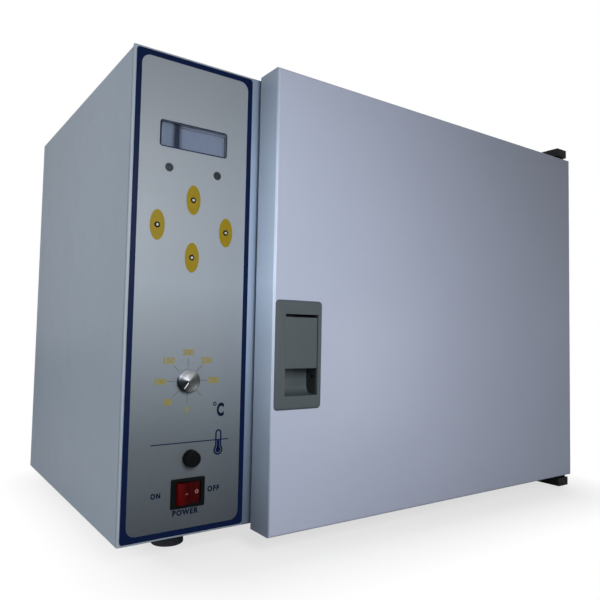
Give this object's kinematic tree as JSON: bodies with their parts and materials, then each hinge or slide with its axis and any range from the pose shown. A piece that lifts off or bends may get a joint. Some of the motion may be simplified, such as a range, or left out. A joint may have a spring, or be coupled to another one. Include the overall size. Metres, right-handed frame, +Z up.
{
  "type": "dry heat sterilizer",
  "caption": "Bench-top hot-air sterilizer: sheet-steel case, control strip with dial and rocker on the left, insulated hinged door with a paddle latch, wire shelves.",
  "frame": {"origin": "middle of the bounding box's underside, on the surface the feet stand on", "axes": "+X to the right seen from the front, +Y from the door to the back, +Z up"},
  "size_m": [0.595, 0.396, 0.453],
  "materials": {
    "case_paint": "satin",
    "door_paint": "satin",
    "black_paint": "satin",
    "zinc_sheet": "satin",
    "stainless": "brushed",
    "bright_wire": "polished",
    "spun_metal": "turned",
    "fastener_steel": "satin",
    "spindle_steel": "satin",
    "brass_parts": "satin",
    "overlay_film": "satin",
    "clear_lens": "gloss",
    "display_black": "satin",
    "lamp_lens": "gloss",
    "key_tip": "gloss",
    "black_plastic": "satin",
    "red_plastic": "gloss",
    "latch_plastic": "satin",
    "board": "satin",
    "white_plastic": "satin",
    "foot_rubber": "matte",
    "gasket_rubber": "matte",
    "mineral_wool": "matte",
    "wire_sleeve": "satin"
  },
  "bodies": {
    "cabinet": {"outer_wrap": "case_paint", "base_pan": "zinc_sheet", "back_panel": "case_paint", "front_frame": "case_paint", "control_overlay": "overlay_film", "bay_partition": "zinc_sheet", "chamber_liner": "stainless", "insulation_jacket": "mineral_wool", "shelf_racks": "stainless", "lower_shelf": "bright_wire", "upper_shelf": "bright_wire", "floor_plate": "stainless", "heater_element": "stainless", "heater_supports": "stainless", "temperature_probe": "stainless", "capillary_tubes": "brass_parts", "vent_tube": "stainless", "display_lens": "clear_lens", "display_module": "display_black", "control_board": "board", "board_spacers": "brass_parts", "indicator_lamps": "lamp_lens", "key_switches": "black_plastic", "thermostat_body": "zinc_sheet", "limiter_body": "white_plastic", "switch_housing": "black_plastic", "mains_inlet": "black_plastic", "inlet_pins": "brass_parts", "heater_relay": "white_plastic", "terminal_block": "white_plastic", "wiring": "wire_sleeve", "striker_plate": "zinc_sheet", "top_hinge_bracket": "black_paint", "bottom_hinge_bracket": "black_paint", "hinge_pins": "spindle_steel", "feet": "foot_rubber", "case_screws": "fastener_steel", "bracket_screws": "fastener_steel", "foot_screws": "fastener_steel"},
    "door": {"door_shell": "door_paint", "door_liner": "stainless", "door_insulation": "mineral_wool", "door_gasket": "gasket_rubber", "latch_frame": "latch_plastic", "paddle_pin": "spindle_steel", "hinge_bushes": "black_plastic"},
    "paddle": {"latch_paddle": "latch_plastic"},
    "bolt": {"latch_bolt": "zinc_sheet", "bolt_spring": "spindle_steel"},
    "knob": {"thermostat_knob": "spun_metal", "thermostat_spindle": "spindle_steel"},
    "rocker": {"switch_rocker": "red_plastic"},
    "key_top": {"key_top": "key_tip"},
    "key_left": {"key_left": "key_tip"},
    "key_right": {"key_right": "key_tip"},
    "key_bottom": {"key_bottom": "key_tip"},
    "reset_button": {"reset_pin": "key_tip"},
    "cap_seal": {"cap_washer": "foot_rubber"},
    "cap": {"reset_cap": "black_plastic"}
  },
  "joints": [
    {"name": "door_hinge", "type": "hinge", "parent": "cabinet", "child": "door", "pos_m": [0.2855, -0.186, 0.23], "axis": [0, 0, 1], "range_deg": [0, 180]},
    {"name": "latch_pull", "type": "hinge", "parent": "door", "child": "paddle", "pos_m": [-0.14525, -0.1937, 0.2075], "axis": [-1, 0, 0], "range_deg": [0, 25], "stiffness_Nm_per_rad": 0.35, "springref_deg": -11.46},
    {"name": "bolt_slide", "type": "slide", "parent": "door", "child": "bolt", "axis": [0, 0, -1], "range_m": [0, 0.0068], "deforming": ["bolt_spring"]},
    {"name": "knob_turn", "type": "hinge", "parent": "cabinet", "child": "knob", "pos_m": [-0.2405, -0.16, 0.1535], "axis": [0, 1, 0], "range_deg": [-36, 234]},
    {"name": "rocker_tilt", "type": "hinge", "parent": "cabinet", "child": "rocker", "pos_m": [-0.2374, -0.159, 0.0572], "axis": [0, 0, -1], "range_deg": [0, 26]},
    {"name": "key_top_press", "type": "slide", "parent": "cabinet", "child": "key_top", "axis": [0, 1, 0], "range_m": [0, 0.0005], "stiffness_N_per_m": 2000, "springref_m": -0.0002},
    {"name": "key_left_press", "type": "slide", "parent": "cabinet", "child": "key_left", "axis": [0, 1, 0], "range_m": [0, 0.0005], "stiffness_N_per_m": 2000, "springref_m": -0.0002},
    {"name": "key_right_press", "type": "slide", "parent": "cabinet", "child": "key_right", "axis": [0, 1, 0], "range_m": [0, 0.0005], "stiffness_N_per_m": 2000, "springref_m": -0.0002},
    {"name": "key_bottom_press", "type": "slide", "parent": "cabinet", "child": "key_bottom", "axis": [0, 1, 0], "range_m": [0, 0.0005], "stiffness_N_per_m": 2000, "springref_m": -0.0002},
    {"name": "reset_press", "type": "slide", "parent": "cabinet", "child": "reset_button", "axis": [0, 1, 0], "range_m": [0, 0.002], "stiffness_N_per_m": 500, "springref_m": -0.001},
    {"name": "cap_travel", "type": "slide", "parent": "cabinet", "child": "cap_seal", "axis": [0, -1, 0], "range_m": [0, 0.0045]},
    {"name": "cap_turn", "type": "hinge", "parent": "cap_seal", "child": "cap", "pos_m": [-0.236, -0.16, 0.0866], "axis": [0, -1, 0], "range_deg": [0, 1080]}
  ],
  "couplings": [
    {"joint": "bolt_slide", "follows": "latch_pull", "m_per_rad": 0.0155},
    {"joint": "cap_turn", "follows": "cap_travel", "rad_per_m": 4188.8}
  ]
}
